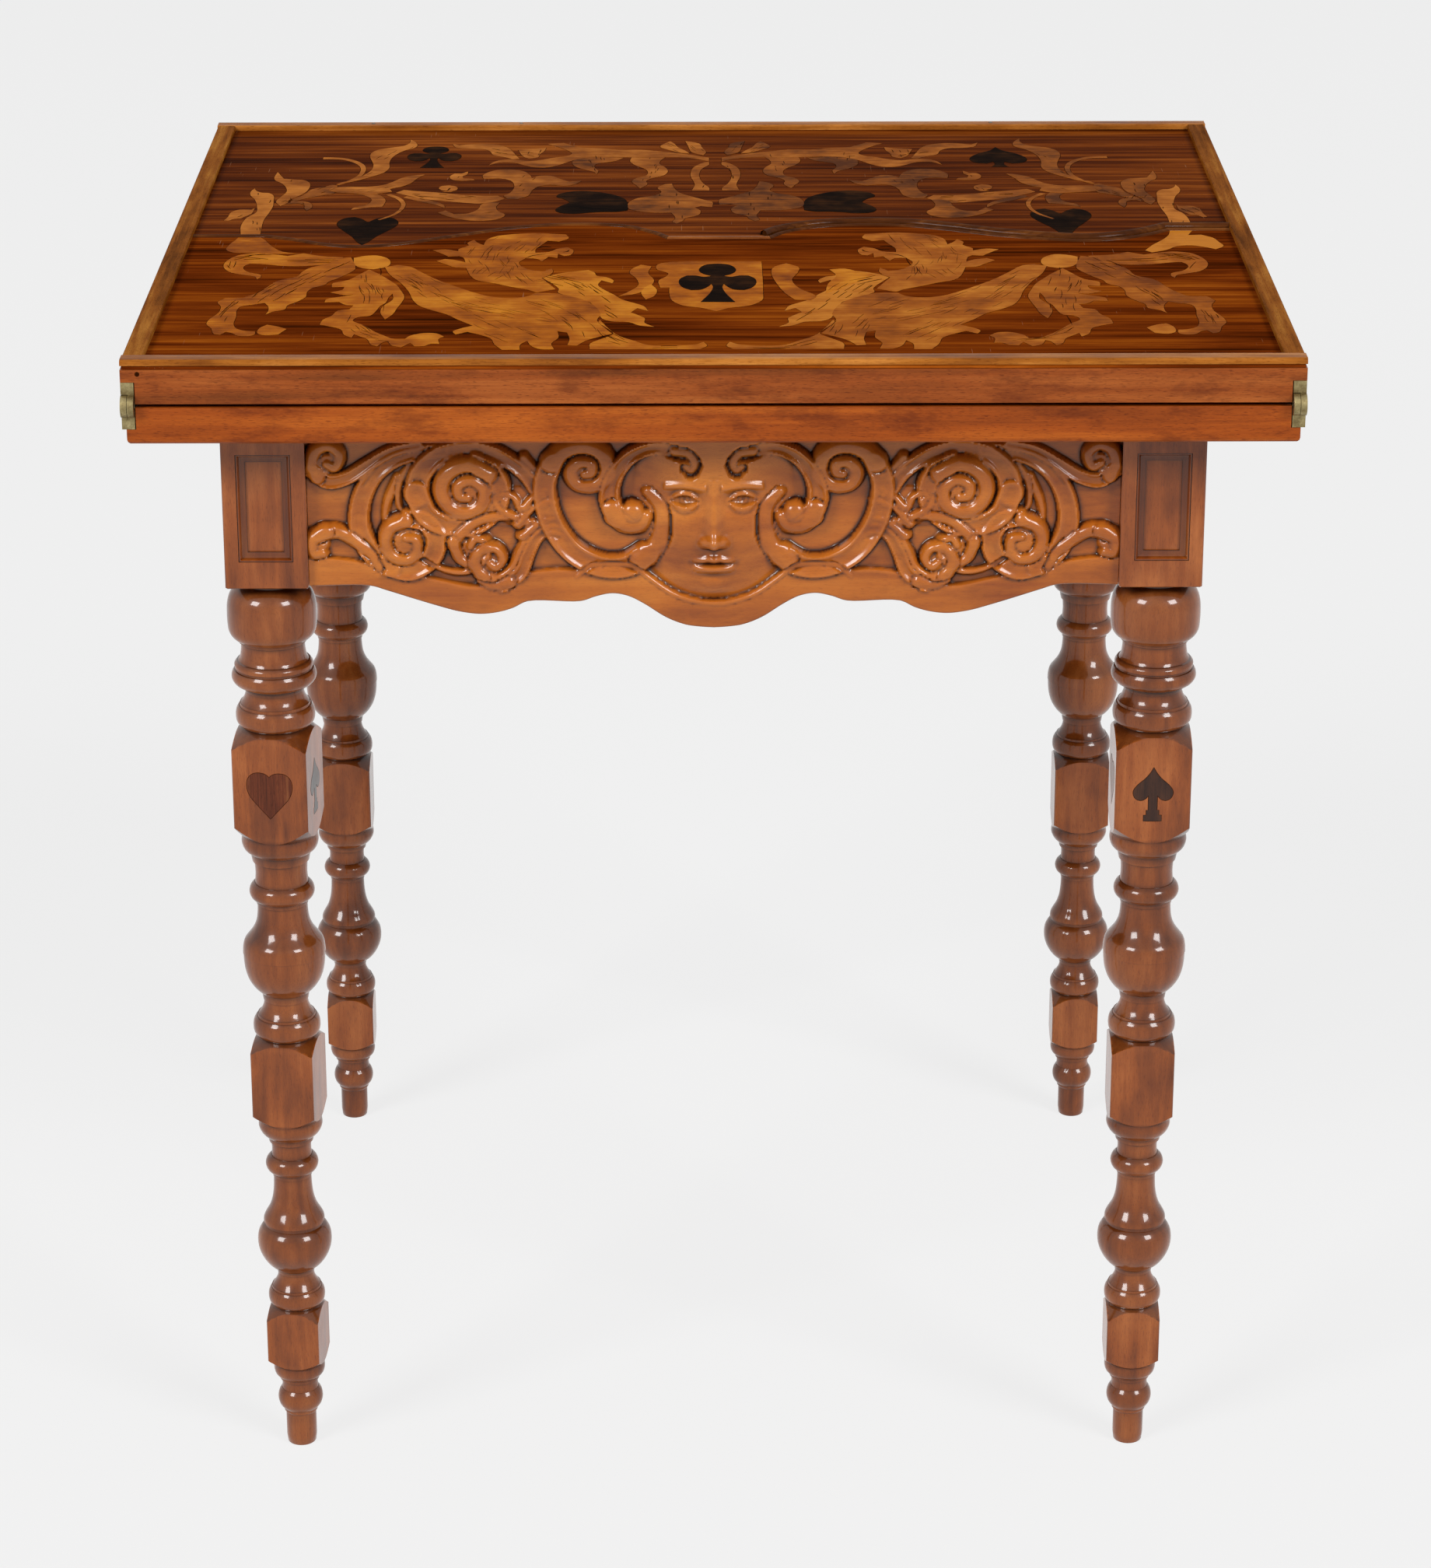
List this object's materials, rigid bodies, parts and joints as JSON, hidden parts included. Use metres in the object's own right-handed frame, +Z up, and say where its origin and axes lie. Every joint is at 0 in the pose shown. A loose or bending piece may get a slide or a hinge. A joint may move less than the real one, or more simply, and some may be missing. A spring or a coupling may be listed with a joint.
{
  "type": "fold-over card table",
  "caption": "Square card table on turned and blocked legs: carved front apron, inlaid top of two hinged flaps that fold open to a cloth-lined surface.",
  "frame": {"origin": "on the floor, under the middle of the closed top", "axes": "+Z up, -Y towards the carved front, +X to the right seen from the front"},
  "size_m": [0.721, 0.6492, 0.775],
  "materials": {
    "leg_wood": "waxed red-brown walnut, turned",
    "carved_wood": "carved walnut, glossy wax, dark in the hollows",
    "apron_wood": "waxed walnut, straight grain",
    "top_wood": "worn waxed walnut boards",
    "front_veneer": "dark streaky rosewood veneer with light inlay, semi-gloss varnish",
    "rear_veneer": "red-brown rosewood veneer with light and black inlay, semi-gloss varnish",
    "rim_wood": "golden fruitwood strips, worn and waxed",
    "bead_wood": "dark polished bead",
    "secondary_wood": "plain beech, unfinished",
    "cloth": "green wool baize",
    "brass": "aged brass, dulled",
    "steel": "dark old steel"
  },
  "bodies": {
    "frame_and_bed": {"leg_front_left": "leg_wood", "leg_front_right": "leg_wood", "leg_back_right": "leg_wood", "leg_back_left": "leg_wood", "panel_moulding_front_left_a": "leg_wood", "panel_moulding_front_left_b": "leg_wood", "panel_moulding_front_right_a": "leg_wood", "panel_moulding_front_right_b": "leg_wood", "panel_moulding_back_right_a": "leg_wood", "panel_moulding_back_right_b": "leg_wood", "panel_moulding_back_left_a": "leg_wood", "panel_moulding_back_left_b": "leg_wood", "apron_front": "carved_wood", "apron_right": "apron_wood", "apron_back": "apron_wood", "apron_left": "apron_wood", "corner_block_front_left": "secondary_wood", "corner_block_front_right": "secondary_wood", "corner_block_back_right": "secondary_wood", "corner_block_back_left": "secondary_wood", "top_button_front_a": "secondary_wood", "top_button_front_b": "secondary_wood", "top_button_back_a": "secondary_wood", "top_button_back_b": "secondary_wood", "top_screw_front_a": "steel", "top_screw_front_b": "steel", "top_screw_back_a": "steel", "top_screw_back_b": "steel", "bed_board": "top_wood", "bed_cloth": "cloth", "hinge_bed_leaf_front_left": "brass", "hinge_bed_leaf_front_right": "brass", "hinge_bed_leaf_rear_left": "brass", "hinge_bed_leaf_rear_right": "brass", "hinge_pin_front_left": "steel", "hinge_pin_front_right": "steel", "hinge_pin_rear_left": "steel", "hinge_pin_rear_right": "steel"},
    "front_flap": {"front_flap_board": "top_wood", "front_flap_cloth": "cloth", "front_flap_marquetry": "front_veneer", "front_rim": "rim_wood", "front_left_rim": "rim_wood", "front_right_rim": "rim_wood", "seam_bead_left": "bead_wood", "seam_bead_middle": "rim_wood", "seam_bead_right": "bead_wood", "hinge_flap_leaf_front_left": "brass", "hinge_flap_leaf_front_right": "brass"},
    "rear_flap": {"rear_flap_board": "top_wood", "rear_flap_cloth": "cloth", "rear_flap_marquetry": "rear_veneer", "rear_rim": "rim_wood", "rear_left_rim": "rim_wood", "rear_right_rim": "rim_wood", "seam_bead_rear": "bead_wood", "hinge_flap_leaf_rear_left": "brass", "hinge_flap_leaf_rear_right": "brass"}
  },
  "joints": [
    {"name": "front_flap_hinge", "type": "hinge", "parent": "frame_and_bed", "child": "front_flap", "pos_m": [0, -0.3177, 0.7461], "axis": [1, 0, 0], "range_deg": [0, 180]},
    {"name": "rear_flap_hinge", "type": "hinge", "parent": "frame_and_bed", "child": "rear_flap", "pos_m": [0, 0.3177, 0.7461], "axis": [-1, 0, 0], "range_deg": [0, 180]}
  ]
}
